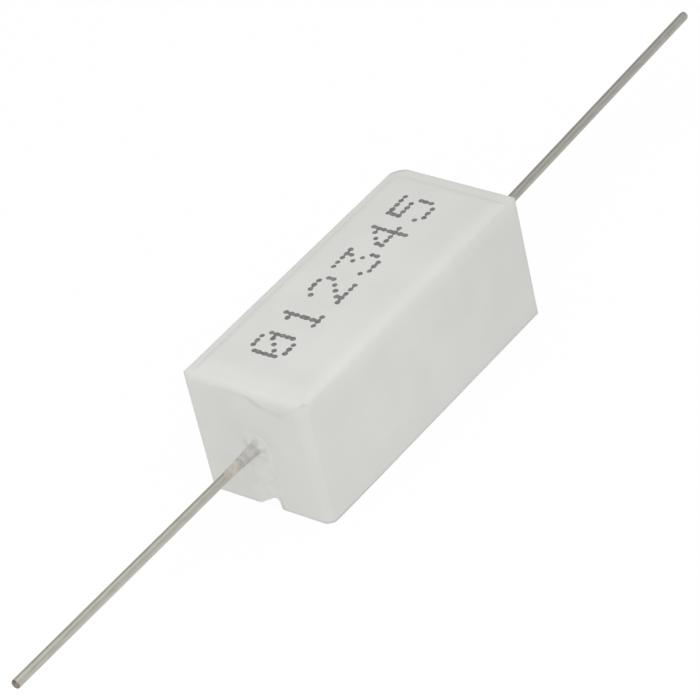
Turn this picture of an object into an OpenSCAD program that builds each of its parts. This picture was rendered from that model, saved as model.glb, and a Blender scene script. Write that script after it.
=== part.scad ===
// Axial power resistor: a wound element potted with cement in a pressed ceramic trough.
// X runs along the leads, Y across the body, and Z up out of the closed face that carries the print.
// The part lies on the open, cement-filled side. The origin is the middle of that side.
// The near end is the one towards -X. The left side is the one towards +Y.

/* [Ceramic case] */
// Length of the case along the leads
case_length = 22; // [20:0.5:30]
// Width of the case across the leads
case_width = 9.1; // [8:0.1:12]
// Height of the case from its open rim to the print pad
case_height = 9.1; // [8.6:0.1:12]
// Thickness of each long wall
side_wall = 1.3; // [0.8:0.1:1.6]
// Thickness of each end wall
end_wall = 1.5; // [1:0.1:2]
// Thickness of the closed wall under the print pad
top_wall = 1.4; // [1:0.1:1.8]
// Round of the vertical corner at the near end on the right
near_corner_round = 1; // [0.3:0.1:1.3]
// Length of the right wall that tapers in towards that corner
taper_length = 7.5; // [4:0.5:10]
// How far the taper brings the right wall in at the near end
taper_depth = 0.12; // [0.05:0.01:0.2]
// Round of the vertical corner at the far end on the left
far_corner_round = 1.5; // [0.3:0.1:1.8]
// Round of the two crisp vertical corners
crisp_corner_round = 0.3; // [0.1:0.05:0.6]
// Round of the top edges on the left and at the far end
top_edge_round = 0.2; // [0.1:0.05:0.4]
// Round of the outer edges of the open rim
rim_round = 0.15; // [0.05:0.05:0.4]
// Round of the cavity's vertical corners
cavity_round = 0.6; // [0.3:0.1:1]

/* [Print pad] */
// Height of the pad over the border of the closed face
pad_rise = 0.2; // [0.1:0.05:0.3]
// Width of the flat border beside the pad on the left
left_border = 0.6; // [0.3:0.05:1]
// Width of the flat border beyond the pad at the far end
far_border = 0.9; // [0.4:0.05:1.2]
// Width of the rounded shoulder of the pad on the left and at the far end
pad_shoulder = 0.45; // [0.3:0.05:0.5]
// Round of the pad's foot in plan at its one free corner
pad_corner_round = 0.6; // [0.5:0.05:0.9]
// Length of the bevel that takes the pad down to the near edge
near_bevel = 1.7; // [1:0.1:2.5]
// Round of the edge between that bevel and the near wall
near_edge_round = 0.5; // [0.2:0.05:0.7]
// Width of the soft crown along the right edge, on the pad and on the wall alike
soft_edge = 1.2; // [0.8:0.1:1.6]
// Round in the middle of that crown
right_edge_round = 0.4; // [0.2:0.05:0.6]

/* [Lead slots] */
// Width of the slot in each end wall
slot_width = 1.65; // [1.3:0.05:2.2]
// Round of the slot's mouth at the rim
slot_mouth_round = 0.3; // [0.15:0.05:0.5]

/* [Resistance element] */
// Cement between the element and the closed wall over it
cover_above = 0.7; // [0.3:0.05:1.5]
// Cement between the element and each end wall
cover_at_ends = 1.3; // [0.5:0.1:2.5]
// Diameter of the ceramic core
core_diameter = 3.6; // [3:0.1:4]
// Wall of the pressed-on end caps
cap_wall = 0.35; // [0.3:0.05:0.5]
// Thickness of each cap's closed end
cap_end = 0.4; // [0.3:0.05:0.6]
// Length of each cap
cap_length = 2.8; // [2:0.1:3.5]
// Diameter of the resistance wire
wire_diameter = 0.2; // [0.15:0.01:0.24]
// Pitch of the turns
winding_pitch = 0.46; // [0.4:0.02:0.8]

/* [Leads] */
// Diameter of the tinned leads
lead_diameter = 0.6; // [0.5:0.02:0.8]
// Thickness of the tin on the leads, which runs out under the collars of cement
tin_coat = 0.01; // [0.005:0.005:0.02]
// Round of the near lead's tip
near_tip_round = 0.03; // [0.01:0.01:0.1]
// Round of the far lead's tip
far_tip_round = 0.14; // [0.02:0.02:0.2]
// Length of the near lead outside the case
near_lead_length = 22.4; // [10:0.2:38]
// Length of the far lead outside the case
far_lead_length = 25.7; // [10:0.1:38]
// Tilt of the near lead, upwards
near_lead_tilt = 0.35; // [0:0.05:2]
// Tilt of the far lead, upwards to the left
far_lead_tilt = 1.4; // [0:0.1:3]
// Offset of the far lead's weld from the middle of its cap, down to the right
far_weld_offset = 0.44; // [0:0.02:0.6]

/* [Cement] */
// Length of wire that the cement coats outside each end wall
collar_length = 1.6; // [0.5:0.1:3]
// Thickness of that coat at its outer end
collar_coat = 0.03; // [0.02:0.01:0.08]
// Thickness of that coat just outside its foot
collar_neck = 0.1; // [0.09:0.01:0.2]
// Width of the foot of cement around each lead at the wall, which is also its reach along the lead
collar_foot = 0.2; // [0.15:0.05:0.4]
// How far the foot reaches into the slot
collar_root = 0.7; // [0.3:0.1:1]
// Round of the roof of the hollow where the cement has slumped away from the rim at each slot
slump_round = 0.32; // [0.2:0.02:0.5]
// Height of that round's middle over the rim, at the wall's face
slump_height = 0.46; // [0.3:0.02:0.7]
// Distance of that middle from the middle of the slot
slump_offset = 0.33; // [0.1:0.01:0.5]
// Slope of the hollow's long flank, seen along the hollow
long_flank_slope = 21; // [10:1:35]
// Slope of its short flank
short_flank_slope = 77; // [65:1:85]
// Slope of the hollow down towards the open side
slump_slope = 35; // [25:1:50]
// Turn of the hollow in plan, off the leads' direction
slump_turn = 40; // [20:1:50]

/* [Fits] */
// Gap between the cement and what it holds
cement_gap = 0.02; // [0.01:0.01:0.05]
// Gap between each cap and the core
cap_gap = 0.01; // [0.01:0.01:0.03]
// Gap between the winding and the core
winding_gap = 0.02; // [0.01:0.01:0.05]
// Gap between the winding's last turn and the cap
winding_end_gap = 0.15; // [0.05:0.05:0.4]

/* [Hidden] */
$fn = 96;
// How far a cut or a trim reaches past the surface that it works on
reach = 1;

border_height = case_height - pad_rise;
cavity_length = case_length - 2 * end_wall;
cavity_width = case_width - 2 * side_wall;
cavity_height = border_height - top_wall;
// Radius of an arc that leaves a straight line and falls by the given drop over the given run
function arc_radius(run, drop) = (run * run + drop * drop) / (2 * drop);
shoulder_radius = arc_radius(pad_shoulder, pad_rise);
crown_radius = arc_radius(soft_edge, pad_rise);
// How far the pad's upright side, buried in the case, lies outside its visible foot
buried_foot = shoulder_radius - pad_shoulder;

lead_radius = lead_diameter / 2;
bare_radius = lead_radius - tin_coat;
cap_radius = core_diameter / 2 + cap_gap + cap_wall;
// The element hangs below the closed wall and between the end walls by its cover of cement
axis_height = cavity_height - cover_above - cap_radius;
element_length = cavity_length - 2 * cover_at_ends;
core_length = element_length - 2 * cap_end - 2 * cap_gap;
wire_radius = wire_diameter / 2;
winding_span = element_length - 2 * cap_length - 2 * winding_end_gap - wire_diameter;
winding_turns = floor(winding_span / winding_pitch);
ring_sides = 6;
rings_per_turn = 16;
// The straight steps between rings cut the corner, so the path lies out by as much
winding_radius = (core_diameter / 2 + winding_gap + wire_radius) / cos(180 / rings_per_turn);

cap_to_wall = (case_length - element_length) / 2;
// Turn, about the body's axis, of the plane in which each lead tilts
near_lead_roll = 90;
far_lead_roll = 45;
// Length along the slump's hollow at which its roof comes out at the rim
slump_run = (slump_height + slump_round) / sin(slump_slope);
// Length of each flank of the hollow, enough to leave the slot
slump_width = slot_width + slump_height;
// Depth, under the pad and inside the right wall alike, of the middle of the right edge's round
round_centre = (soft_edge + crown_radius
                - sqrt(2 * pow(crown_radius - right_edge_round, 2) - pow(crown_radius - soft_edge, 2))) / 2;
// Angle through which each arc of the crown has turned where that round takes over
crown_turn = atan2(soft_edge - round_centre, crown_radius - round_centre);

// Shapes used by more than one piece

// Rectangle from the origin whose corners, in turn from there, have their own rounds
module rounded_rectangle(size, rounds) {
    corners = [[0, 0], [size[0], 0], size, [0, size[1]]];
    difference() {
        square(size);
        for (i = [0:3])
            translate(corners[i])
                rotate(90 * i)
                    difference() {
                        translate([-reach, -reach]) square(rounds[i] + reach);
                        translate([rounds[i], rounds[i]]) circle(rounds[i]);
                    }
    }
}

// Profile drawn in Y and Z, extruded along X
module along_x(length) {
    translate([-length / 2, 0, 0])
        rotate([90, 0, 90])
            linear_extrude(length) children();
}

// Profile drawn in X and Z, extruded along Y
module along_y(length) {
    translate([0, length / 2, 0])
        rotate([90, 0, 0])
            linear_extrude(length) children();
}

// Block whose top edge round runs on around its vertical corners
module soft_block(length, width, height, corner, edge) {
    translate([length / 2, width / 2, 0]) {
        along_x(length - 2 * corner)
            translate([-width / 2, 0]) rounded_rectangle([width, height], [0, 0, edge, edge]);
        along_y(width - 2 * corner)
            translate([-length / 2, 0]) rounded_rectangle([length, height], [0, 0, edge, edge]);
        for (turn = [0:3])
            rotate(90 * turn)
                translate(turn % 2 == 0 ? [length / 2 - corner, width / 2 - corner, 0]
                                        : [width / 2 - corner, length / 2 - corner, 0])
                    rotate_extrude(angle = 90)
                        rounded_rectangle([corner, height], [0, 0, edge, 0]);
    }
}

// Opening of one end wall: upright sides, a round top about the lead and a flared mouth
module slot_profile(width, mouth) {
    translate([0, axis_height]) circle(width / 2);
    translate([-width / 2, -reach]) square([width, axis_height + reach]);
    for (side = [0, 1])
        mirror([side, 0])
            difference() {
                translate([0, -reach]) square([width / 2 + mouth, mouth + reach]);
                translate([width / 2 + mouth, mouth]) circle(mouth);
                translate([-reach, mouth]) square([reach, reach]);
            }
}

// Puts its children at the weld of a lead on its cap, facing out along the lead
module at_weld(near) {
    translate([(near ? -1 : 1) * element_length / 2, 0, axis_height])
        rotate([0, 0, near ? 180 : 0])
            rotate([near ? near_lead_roll : far_lead_roll, 0, 0])
                translate([0, near ? 0 : -far_weld_offset, 0])
                    rotate(near ? near_lead_tilt : far_lead_tilt) children();
}

// Wire from a little way inside the cap to its tip, bare in the case and tinned outside, wider by the gap
module wire(near, gap) {
    length = cap_to_wall + (near ? near_lead_length : far_lead_length);
    at_weld(near)
        rotate([0, 90, 0])
            rotate_extrude()
                intersection() {
                    polygon([[0, -cap_end / 2], [bare_radius + gap, -cap_end / 2],
                             [bare_radius + gap, cap_to_wall],
                             [lead_radius + gap, cap_to_wall + collar_length],
                             [lead_radius + gap, length], [0, length]]);
                    translate([0, -cap_end / 2])
                        rounded_rectangle([lead_radius + gap, cap_end / 2 + length],
                                          [0, 0, near ? near_tip_round : far_tip_round, 0]);
                }
}

// Envelope of the element with its caps on, wider all round by the gap
module element_envelope(gap) {
    translate([-element_length / 2 - gap, 0, axis_height])
        rotate([0, 90, 0]) cylinder(r = cap_radius + gap, h = element_length + 2 * gap);
}

// Solid that the cement, or the hollow for it, fills in the trough
module cavity_fill(gap) {
    translate([-cavity_length / 2 + gap, -cavity_width / 2 + gap, -(gap == 0 ? reach : 0)])
        linear_extrude(cavity_height - gap + (gap == 0 ? reach : 0))
            rounded_rectangle([cavity_length - 2 * gap, cavity_width - 2 * gap],
                              [for (i = [0:3]) cavity_round - gap]);
}

// Pieces

// Plan of the case before its taper
module straight_plan() {
    translate([-case_length / 2, -case_width / 2])
        rounded_rectangle([case_length, case_width],
                          [near_corner_round, crisp_corner_round, far_corner_round, crisp_corner_round]);
}

// What the taper takes off the plan at the near end of the right wall
module plan_taper() {
    slope = taper_depth / taper_length;
    translate([-case_length / 2, -case_width / 2])
        polygon([[-reach, -reach], [taper_length, -reach], [taper_length, 0],
                 [-reach, taper_depth + reach * slope]]);
}

// Plan of the case
module case_plan() {
    difference() {
        straight_plan();
        plan_taper();
    }
}

// Case without its pad: the border's height, with the left, far and rim edges rounded
module case_block() {
    intersection() {
        linear_extrude(border_height) case_plan();
        along_x(case_length + reach)
            translate([-case_width / 2, 0])
                rounded_rectangle([case_width, border_height], [rim_round, rim_round, top_edge_round, 0]);
        along_y(case_width + reach)
            translate([-case_length / 2, 0])
                rounded_rectangle([case_length, border_height], [rim_round, rim_round, top_edge_round, 0]);
    }
}

// Low pad for the print, with shoulders on the left and at the far end only
module print_pad() {
    intersection() {
        translate([-case_length / 2 - reach, -case_width / 2 - reach, cavity_height])
            soft_block(case_length + reach - far_border + buried_foot,
                       case_width + reach - left_border + buried_foot,
                       case_height - cavity_height,
                       pad_corner_round + buried_foot, shoulder_radius);
        linear_extrude(case_height + reach) case_plan();
    }
}

// Trims the near edge to its bevel, with a round between the bevel and the wall
module near_bevel_trim() {
    lean = atan2(pad_rise, near_bevel);
    centre = [-case_length / 2 + near_edge_round,
              border_height + near_edge_round * tan(lean) - near_edge_round / cos(lean)];
    along_y(case_width + 2 * reach) {
        translate(centre) circle(near_edge_round);
        polygon([[-case_length / 2, -reach], [case_length / 2 + reach, -reach],
                 [case_length / 2 + reach, case_height], [-case_length / 2 + near_bevel, case_height],
                 centre + near_edge_round * [-sin(lean), cos(lean)], [-case_length / 2, centre[1]]]);
    }
}

// What the round in the middle of the right edge's crown takes off, with the unrounded corner at the origin
module crown_relief() {
    centre = [round_centre, -round_centre];
    difference() {
        polygon([centre, centre + right_edge_round * [-sin(crown_turn), cos(crown_turn)],
                 centre + right_edge_round / cos(45 - crown_turn) * [-sin(45), cos(45)],
                 centre + right_edge_round * [-cos(crown_turn), sin(crown_turn)]]);
        translate(centre) circle(right_edge_round);
    }
}

// Trims the right edge to its soft crown: one wide arc off the pad, one off the wall and a round between them
module soft_edge_trim() {
    along_x(case_length + 2 * reach)
        difference() {
            intersection() {
                translate([-case_width / 2 + soft_edge - crown_radius, -reach])
                    rounded_rectangle([case_width + crown_radius, case_height + reach],
                                      [0, 0, 0, crown_radius]);
                translate([-case_width / 2, -reach])
                    rounded_rectangle([case_width + reach, case_height + reach - soft_edge + crown_radius],
                                      [0, 0, 0, crown_radius]);
            }
            translate([-case_width / 2, case_height]) crown_relief();
        }
}

module ceramic_case() {
    color([0.86, 0.87, 0.84])
        difference() {
            intersection() {
                union() {
                    case_block();
                    print_pad();
                }
                near_bevel_trim();
                soft_edge_trim();
            }
            cavity_fill(0);
            along_x(case_length + 2 * reach) slot_profile(slot_width, slot_mouth_round);
        }
}

// Coat of cement on a lead, from inside the slot outwards: a foot that narrows to a thin sleeve
module collar() {
    rotate([0, 90, 0])
        rotate_extrude()
            polygon([[0, -collar_root], [lead_radius + collar_foot, -collar_root],
                     [lead_radius + collar_foot, 0], [lead_radius + collar_neck, collar_foot],
                     [lead_radius + collar_coat, collar_length], [0, collar_length]]);
}

// Hollow where the cement has slumped away from the rim: a round roof between a long and a short flank
module slump_hollow() {
    long = [sin(long_flank_slope), cos(long_flank_slope)];
    short = [sin(short_flank_slope), -cos(short_flank_slope)];
    long_top = slump_round * [-long[1], long[0]];
    short_top = slump_round * [short[1], -short[0]];
    translate([-case_length / 2, -slump_offset, slump_height])
        rotate([0, 90 + slump_slope, slump_turn])
            translate([0, 0, -reach])
                linear_extrude(slump_run + 2 * reach) {
                    circle(slump_round);
                    polygon([long_top, long_top + slump_width * long,
                             short_top + slump_width * short, short_top]);
                }
}

module cement_filling() {
    color([0.83, 0.83, 0.8])
        difference() {
            union() {
                cavity_fill(cement_gap);
                intersection() {
                    along_x(case_length) slot_profile(slot_width - 2 * cement_gap, 0);
                    translate([-case_length / 2, -case_width / 2, 0])
                        cube([case_length, case_width, case_height]);
                }
                for (near = [true, false]) at_weld(near) translate([cap_to_wall, 0, 0]) collar();
            }
            element_envelope(cement_gap);
            for (near = [true, false]) wire(near, cement_gap);
            for (turn = [0, 180]) rotate(turn) slump_hollow();
        }
}

module winding_core() {
    color([0.9, 0.89, 0.85])
        translate([-core_length / 2, 0, axis_height])
            rotate([0, 90, 0]) cylinder(d = core_diameter, h = core_length);
}

// Point of one ring of the winding: ring i along the helix, corner j around the wire
function winding_point(i, j) =
    let (turn = 360 * i / rings_per_turn,
         corner = 360 * j / ring_sides,
         radius = winding_radius + wire_radius * cos(corner),
         along = (i / rings_per_turn - winding_turns / 2) * winding_pitch)
    [along + wire_radius * sin(corner), radius * cos(turn), axis_height + radius * sin(turn)];

// Resistance wire as a swept tube of flat facets
module resistance_winding() {
    last = winding_turns * rings_per_turn;
    points = [for (i = [0:last], j = [0:ring_sides - 1]) winding_point(i, j)];
    sides = [for (i = [0:last - 1], j = [0:ring_sides - 1])
                let (a = i * ring_sides + j, b = i * ring_sides + (j + 1) % ring_sides)
                [a, b, b + ring_sides, a + ring_sides]];
    start = [[for (j = [ring_sides - 1:-1:0]) j]];
    end = [[for (j = [0:ring_sides - 1]) last * ring_sides + j]];
    color([0.62, 0.6, 0.56]) polyhedron(points, concat(sides, start, end), convexity = 10);
}

// Cup pressed on one end of the core
module end_cap() {
    color([0.75, 0.75, 0.73])
        translate([element_length / 2, 0, axis_height])
            rotate([0, -90, 0])
                difference() {
                    cylinder(r = cap_radius, h = cap_length);
                    translate([0, 0, cap_end])
                        cylinder(d = core_diameter + 2 * cap_gap, h = cap_length);
                }
}

module near_end_cap() {
    rotate(180) end_cap();
}

module far_end_cap() {
    end_cap();
}

// Tinned wire, cut flush where it is welded to the flat end of its cap
module lead(near) {
    color([0.66, 0.65, 0.62])
        difference() {
            wire(near, 0);
            element_envelope(0);
        }
}

module near_lead() {
    lead(true);
}

module far_lead() {
    lead(false);
}

ceramic_case();
cement_filling();
winding_core();
resistance_winding();
near_end_cap();
far_end_cap();
near_lead();
far_lead();
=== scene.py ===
# %% [markdown]
# # Axial power resistor
# A white ceramic trough, potted with cement round a wound element, with one tinned wire out of each
# end. The exact pieces come from the CAD frame. This lesson dresses them: first what is needed
# everywhere, then one material per real finish, then the films of ink and cement, and last the light
# and the camera.

import math
import random

import bmesh
import bpy
from mathutils import Matrix, Vector, noise


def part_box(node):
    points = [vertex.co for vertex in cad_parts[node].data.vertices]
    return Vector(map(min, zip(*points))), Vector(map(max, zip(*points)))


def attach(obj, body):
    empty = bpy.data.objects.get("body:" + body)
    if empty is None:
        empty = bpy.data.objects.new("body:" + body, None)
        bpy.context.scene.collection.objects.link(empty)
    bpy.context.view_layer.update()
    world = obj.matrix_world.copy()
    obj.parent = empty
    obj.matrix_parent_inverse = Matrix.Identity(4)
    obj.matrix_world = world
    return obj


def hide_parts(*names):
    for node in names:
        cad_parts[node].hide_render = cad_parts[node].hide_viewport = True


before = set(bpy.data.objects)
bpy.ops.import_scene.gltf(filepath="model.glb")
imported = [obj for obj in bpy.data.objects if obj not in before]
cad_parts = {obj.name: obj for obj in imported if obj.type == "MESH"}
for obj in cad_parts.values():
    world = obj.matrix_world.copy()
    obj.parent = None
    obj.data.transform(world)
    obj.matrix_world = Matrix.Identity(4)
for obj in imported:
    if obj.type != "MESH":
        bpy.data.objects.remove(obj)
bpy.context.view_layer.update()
MM = 0.001

# %% [markdown]
# ## Colours, nodes and pieces
# Colours are written as the sRGB hex values that a colour picker shows. The renderer works in linear
# light, so one function turns each into linear numbers. A second function adds a shader node together
# with its settings and its links, and gives back one of its outputs, which keeps each material readable
# from its first node to its last. Inputs that share a name go by their place. A mix of colours takes
# its share at 0 and its colours at 6 and 7. A map range takes its value at 0, the range at 1 and 2, and
# the numbers that the range turns into at 3 and 4, which are 0 and 1 if nothing is said.

# %% Helpers
SOFTLY = {"interpolation_type": "SMOOTHSTEP"}      # for a map range: starts and ends gently
OF_COLOURS = {"data_type": "RGBA", "out": 2}       # for a mix
MULTIPLY = {"operation": "MULTIPLY"}               # for numbers or vectors


def linear(hex_colour):
    """Linear red, green, blue and alpha of a colour written in sRGB hex."""
    parts = [int(hex_colour[i:i + 2], 16) / 255 for i in (1, 3, 5)]
    return [c / 12.92 if c <= 0.04045 else ((c + 0.055) / 1.055) ** 2.4 for c in parts] + [1.0]


def add(tree, kind, inputs=None, out=0, **settings):
    """Adds a shader node, sets it, gives its inputs their values or links, and returns one output."""
    node = tree.nodes.new("ShaderNode" + kind)
    for name, value in settings.items():
        setattr(node, name, value)
    for name, value in (inputs or {}).items():
        if isinstance(value, bpy.types.NodeSocket):
            tree.links.new(value, node.inputs[name])
        else:
            node.inputs[name].default_value = value
    return node.outputs[out] if node.outputs else None


def new_material(name):
    """An empty material and its tree."""
    material = bpy.data.materials.new(name)
    material.use_nodes = True
    material.node_tree.nodes.clear()
    return material, material.node_tree


def millimetres(tree):
    """The piece's own coordinates in millimetres, so that every pattern scale is a real size."""
    place = add(tree, "TexCoord", out="Object")
    return add(tree, "VectorMath", {0: place, "Scale": 1 / MM}, operation="SCALE")


def mottled(tree, place, pattern, dark, light):
    """A noise and its colour. The pattern is waves per mm, detail, and the levels of dark and light."""
    per_mm, detail, *levels = pattern
    number = add(tree, "TexNoise", {"Vector": place, "Scale": per_mm, "Detail": detail})
    colour = add(tree, "ValToRGB", {0: number})
    for element, level, tone in zip(colour.node.color_ramp.elements, levels, (dark, light)):
        element.position = level
        element.color = tone
    return number, colour


def grain_bump(tree, place, size, depth, detail, normal=None):
    """Bump of grains of the given size and depth, both in millimetres, over another bump or none."""
    grains = add(tree, "TexNoise", {"Vector": place, "Scale": 1 / size, "Detail": detail})
    inputs = {"Height": grains, "Distance": depth * MM, "Strength": 1.0}
    if normal is not None:
        inputs["Normal"] = normal
    return add(tree, "Bump", inputs)


def traced(tree, value, half, points):
    """Number read off a smooth line through the points (value, number), from -half to half."""
    share = add(tree, "MapRange", {0: value, 1: -half, 2: half})
    number = add(tree, "FloatCurve", {"Value": share})
    mapping = number.node.mapping
    line = mapping.curves[0]
    while len(line.points) < len(points):
        line.points.new(0.5, 0.5)
    for point, (at, height) in zip(line.points, points):
        point.location = ((at + half) / (2 * half), height)
    mapping.update()
    return number


def in_scene(name, data):
    """New object with this data, in the scene."""
    made = bpy.data.objects.new(name, data)
    bpy.context.scene.collection.objects.link(made)
    return made


def middle_of(points):
    """Middle of a cloud of points."""
    return Vector([(min(p[k] for p in points) + max(p[k] for p in points)) / 2 for k in range(3)])


def dress(name, material):
    """Puts the material on a CAD node that is shown as it is."""
    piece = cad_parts[name]
    piece.data.materials.clear()
    piece.data.materials.append(material)


# %% [markdown]
# ## Fired ceramic
# The case is a steatite-like body, pressed dry in a steel die and fired without a glaze. That leaves a
# matt, slightly chalky off-white skin: even in colour, with a fine grain and a few dark specks of iron
# from the die. A paler painted highlight lies along the near and right top edges. The die's parting
# line shows on the near end wall as a faint, soft fold with painted shade in it. It is traced as a line
# and as its depth.

# %% Fired ceramic
CERAMIC_IOR = 1.6
CERAMIC_ROUGHNESS = 0.55
CERAMIC_DARK = linear("#D7D8D3")
CERAMIC_PALE = linear("#DBDBD7")
CERAMIC_PAINTED_HIGHLIGHT = linear("#E4E4DF")   # painted highlight along the near and right top edges
CERAMIC_FAR_DARKER = linear("#CDCEC9")    # darker towards the far end
LIP_PAINTED_SHADE = linear("#A9AAA5")        # painted shade in the parting line's fold
SPECK_SHADE = linear("#8C8478")      # iron from the die
TINT = (1 / 3.5, 2.0, 0.35, 0.65)    # pattern with patches 3.5 mm across
SPECK_SPACING = 3.4    # mm between the cells that may hold a speck
SPECK_RADIUS = 0.035   # share of a cell
SPECK_RIM = 0.4        # share of that radius at which a speck has its full tone
SPECK_TONE = 0.35      # how much of its shade a speck shows
EDGE_ROUND = 0.45      # mm, the soft look of a pressed edge
LIP_SHARE = 0.37       # how much of its painted shade the parting line shows
LIP_CREASE = 0.012     # mm deep
SWELL = (2.2, 0.02, 1.0)       # mm wide, mm deep and detail of the soft unevenness of a pressed face
GRAIN = (0.12, 0.002, 3.0)     # the same of pressed powder granules

# Where each tone starts and where it is full, in mm from the part's origin, and the share it then has.
FAR_DARKER_ALONG = {1: -2.0, 2: 11.0, 4: 0.3}
# The painted highlight: along the near top edge, then along the right top edge.
BEVEL_HIGHLIGHT_ALONG = {1: -9.3, 2: -10.0}
BEVEL_HIGHLIGHT_UP = {1: 7.7, 2: 8.8, 4: 0.22}
CROWN_HIGHLIGHT_ACROSS = {1: -3.3, 2: -4.0}
CROWN_HIGHLIGHT_UP = {1: 7.6, 2: 8.6, 4: 0.17}
LIP_ALONG = {1: -10.5, 2: -10.9}
LIP_ABOVE = {1: 0.20, 2: 0.0}          # from the edge above the parting line down to its bottom
LIP_BELOW = {1: -0.42, 2: 0.0}         # from where it has faded into the wall below up to its bottom
SPECK_CHOICE = {1: 0.6, 2: 0.62}       # a cell whose random number is higher holds a speck

# The parting line over the wall's width: its height, then how deep it shows.
LIP_HALF = 4.6         # mm, half the width over which it is traced
LIP_UNIT = 10.0        # mm of height for which the number 1 stands
LIP_LINE = [(-4.6, 0.86), (-2.7, 0.80), (-2.5, 0.79), (-1.9, 0.795), (-1.35, 0.805), (-0.85, 0.82),
            (-0.35, 0.845), (0.34, 0.85), (0.93, 0.855), (2.17, 0.847), (3.08, 0.833), (4.6, 0.82)]
LIP_DEPTH = [(-4.6, 0.0), (-3.1, 0.0), (-2.5, 0.42), (-1.9, 0.40), (-1.2, 0.85), (-0.8, 0.95),
             (-0.3, 0.62), (0.4, 0.36), (1.2, 0.3), (2.2, 0.12), (3.2, 0.0), (4.6, 0.0)]


def parting_line(tree, along, across, up):
    """How much the parting line shows at a place, from 0 to 1, as its dent and its painted shade."""
    height = traced(tree, across, LIP_HALF, LIP_LINE)
    above = add(tree, "Math", {0: height, 1: -LIP_UNIT, 2: up}, operation="MULTIPLY_ADD")
    lip = add(tree, "MapRange", {0: above, **LIP_ABOVE}, **SOFTLY)
    for factor in (add(tree, "MapRange", {0: above, **LIP_BELOW}, **SOFTLY),
                   traced(tree, across, LIP_HALF, LIP_DEPTH),
                   add(tree, "MapRange", {0: along, **LIP_ALONG}, **SOFTLY)):
        lip = add(tree, "Math", {0: lip, 1: factor}, **MULTIPLY)
    return lip


def speckle(tree, place):
    """How much a speck of iron shows at a place, from 0 to SPECK_TONE."""
    cells = add(tree, "TexVoronoi", {"Vector": place, "Scale": 1 / SPECK_SPACING}).node
    number = add(tree, "SeparateColor", {"Color": cells.outputs["Color"]})
    chosen = add(tree, "MapRange", {0: number, **SPECK_CHOICE}, **SOFTLY)
    reach = {0: cells.outputs["Distance"], 1: SPECK_RADIUS, 2: SPECK_RADIUS * SPECK_RIM, 4: SPECK_TONE}
    return add(tree, "Math", {0: chosen, 1: add(tree, "MapRange", reach, **SOFTLY)}, **MULTIPLY)


def fired_ceramic():
    """Unglazed ceramic: its tones, painted highlight on two edges, painted shade in its fold, specks,
    grain.
    """
    material, tree = new_material("fired_ceramic")
    place = millimetres(tree)
    along, across, up = add(tree, "SeparateXYZ", {0: place}).node.outputs
    plain = mottled(tree, place, TINT, CERAMIC_DARK, CERAMIC_PALE)[1]
    # The tone darkens towards the far end.
    far_share = add(tree, "MapRange", {0: along, **FAR_DARKER_ALONG}, **SOFTLY)
    fired = add(tree, "Mix", {0: far_share, 6: plain, 7: CERAMIC_FAR_DARKER}, **OF_COLOURS)
    # Painted highlight: the near and right top edges are painted paler.
    highlight_masks = []
    for way, reach, rise in ((along, BEVEL_HIGHLIGHT_ALONG, BEVEL_HIGHLIGHT_UP), (across, CROWN_HIGHLIGHT_ACROSS, CROWN_HIGHLIGHT_UP)):
        edge = add(tree, "MapRange", {0: way, **reach}, **SOFTLY)
        top = add(tree, "MapRange", {0: up, **rise}, **SOFTLY)
        highlight_masks.append(add(tree, "Math", {0: edge, 1: top}, **MULTIPLY))
    painted_highlight = add(tree, "Math", {0: highlight_masks[0], 1: highlight_masks[1]}, operation="MAXIMUM")
    highlighted = add(tree, "Mix", {0: painted_highlight, 6: fired, 7: CERAMIC_PAINTED_HIGHLIGHT}, **OF_COLOURS)
    lip = parting_line(tree, along, across, up)
    # Painted shade: the fold of the parting line is darkened in the colour, besides its bump.
    painted_fold_shade = add(tree, "Math", {0: lip, 1: LIP_SHARE}, **MULTIPLY)
    folded = add(tree, "Mix", {0: painted_fold_shade, 6: highlighted, 7: LIP_PAINTED_SHADE}, **OF_COLOURS)
    spotted = add(tree, "Mix", {0: speckle(tree, place), 6: folded, 7: SPECK_SHADE}, **OF_COLOURS)
    soft = add(tree, "Bevel", {"Radius": EDGE_ROUND * MM}, samples=8)
    dent = add(tree, "Math", {0: lip, 1: -1.0}, **MULTIPLY)
    creased = add(tree, "Bump", {"Height": dent, "Distance": LIP_CREASE * MM, "Normal": soft})
    grain = grain_bump(tree, place, *GRAIN, grain_bump(tree, place, *SWELL, creased))
    surface = add(tree, "BsdfPrincipled", {"Base Color": spotted, "Normal": grain, "IOR": CERAMIC_IOR,
                                           "Roughness": CERAMIC_ROUGHNESS})
    add(tree, "OutputMaterial", {"Surface": surface})
    print(material.name, "nodes:", len(tree.nodes))
    return material


dress("ceramic_case", fired_ceramic())

# %% [markdown]
# ## Potting cement
# The filling is a water-glass cement loaded with quartz flour. It is poured wet and sets with a dull,
# gritty, slightly mottled face, close to the ceramic in tone. Where it runs out along a lead the metal
# under it shows through, so it looks darker there, and stains the wall round the lead's foot in clouds.

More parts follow.
